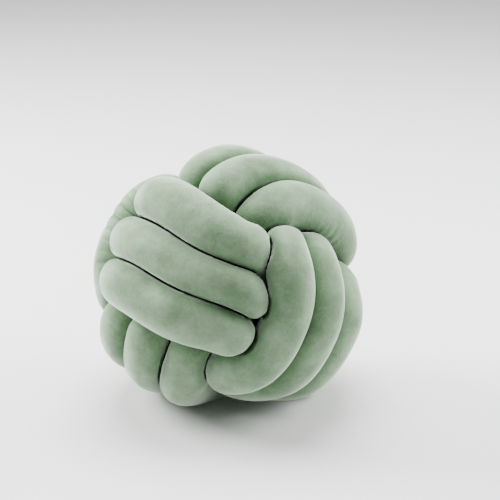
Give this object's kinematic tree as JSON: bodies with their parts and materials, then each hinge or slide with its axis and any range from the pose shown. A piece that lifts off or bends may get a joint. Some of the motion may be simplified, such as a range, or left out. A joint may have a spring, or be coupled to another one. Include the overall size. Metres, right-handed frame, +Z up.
{
  "type": "knot cushion",
  "caption": "Ball-shaped cushion: a stuffed plush tube wound into a knot, strands side by side on every face, pressed a little flat underneath.",
  "frame": {"origin": "centre of the bounding box at its base, where the cushion rests", "axes": "+Z up; -Y towards the side the picture shows, +X to that view's right"},
  "size_m": [0.2959, 0.304, 0.2792],
  "materials": {
    "plush": "short sage-green velvet pile"
  },
  "bodies": {
    "root": {"knot_tube": "plush"}
  },
  "joints": []
}
